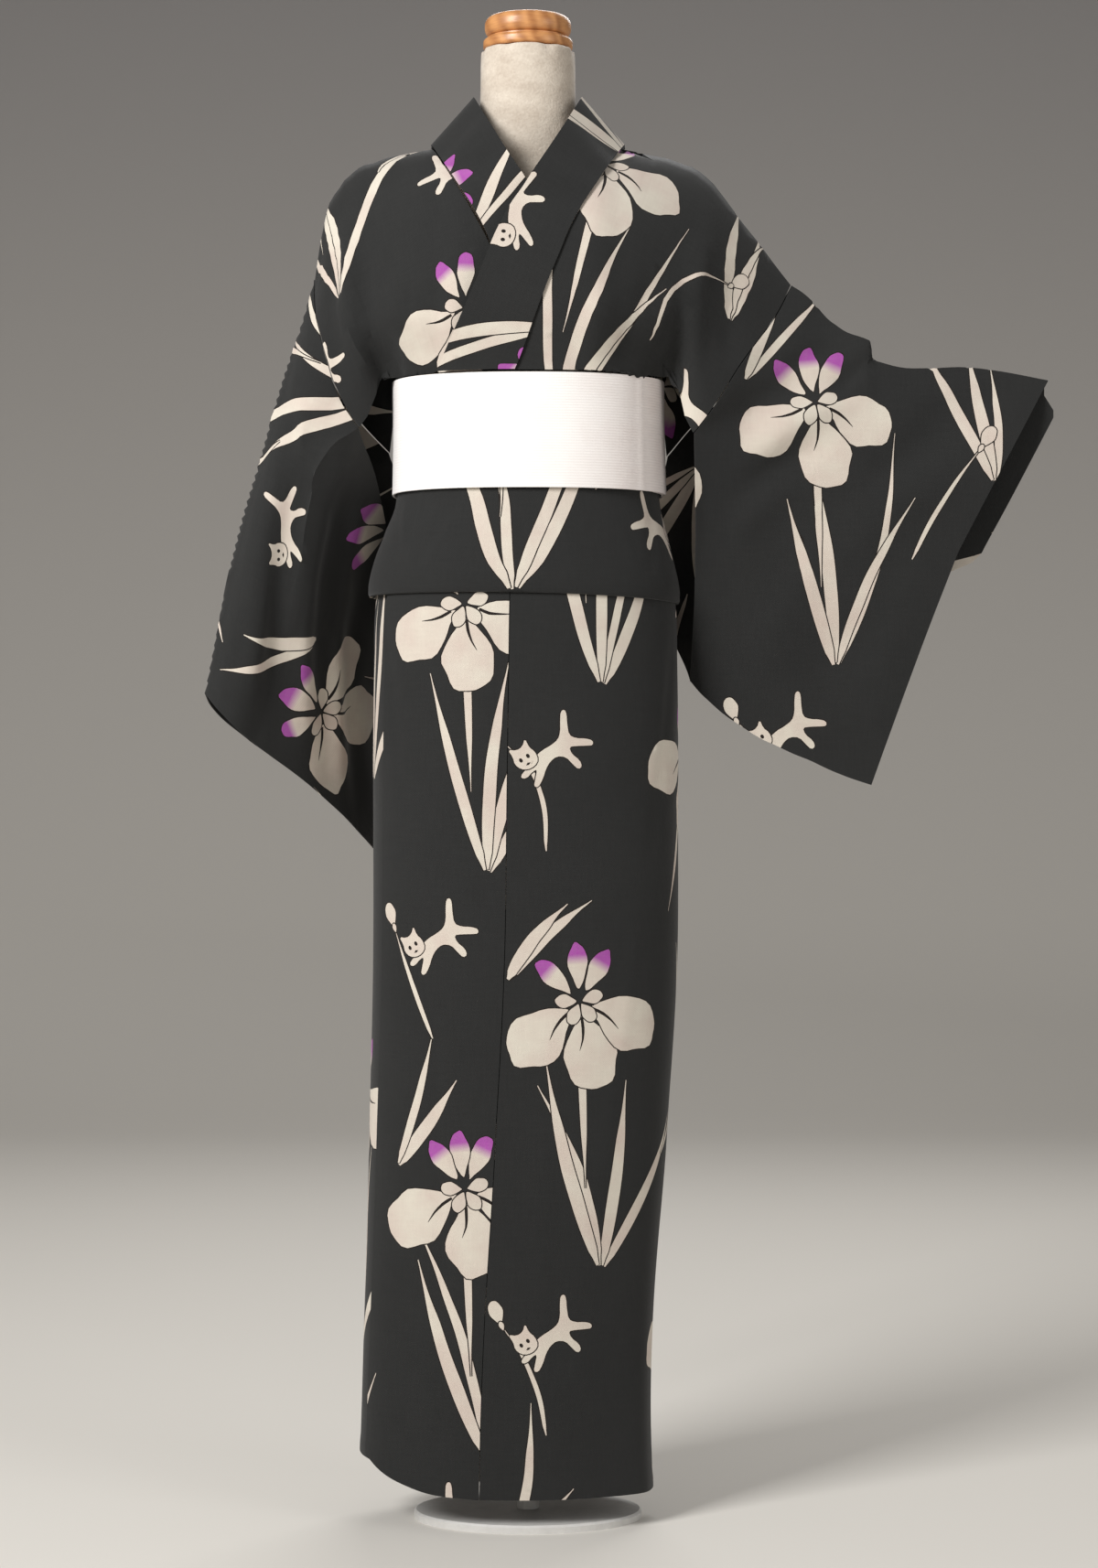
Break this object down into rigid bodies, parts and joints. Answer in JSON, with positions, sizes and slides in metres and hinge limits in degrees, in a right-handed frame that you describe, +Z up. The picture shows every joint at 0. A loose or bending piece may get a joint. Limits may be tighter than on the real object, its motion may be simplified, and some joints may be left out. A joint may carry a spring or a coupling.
{
  "type": "cotton yukata robe on a limbless dress form",
  "caption": "Wrapped cotton summer robe with wide hanging sleeves, a crossed collar band, a waist fold and a flat belt, worn by a limbless dress form on a low base.",
  "frame": {"origin": "middle of the base's underside, on the floor, below the form's axis", "axes": "+Z up, -Y towards the front of the garment, +X towards the wearer's left"},
  "size_m": [0.8261, 0.2328, 1.475],
  "materials": {
    "cotton": "plain-woven cotton, charcoal black with an off-white and magenta iris print",
    "belt": "flat white woven belt with a fine cross rib",
    "velvet": "mottled off-white velvet cover",
    "wood": "turned and varnished orange-tan wood",
    "steel": "smooth pale grey paint"
  },
  "bodies": {
    "root": {"bodice_left": "cotton", "bodice_right": "cotton", "collar": "cotton", "sleeve_left": "cotton", "sleeve_right": "cotton", "waist_fold": "cotton", "skirt_front_left": "cotton", "overlap_left": "cotton", "skirt_front_right": "cotton", "overlap_right": "cotton", "skirt_back_left": "cotton", "skirt_back_right": "cotton", "belt": "belt", "form_body": "velvet", "form_cap": "wood", "form_pole": "steel", "form_base": "steel"}
  },
  "joints": []
}
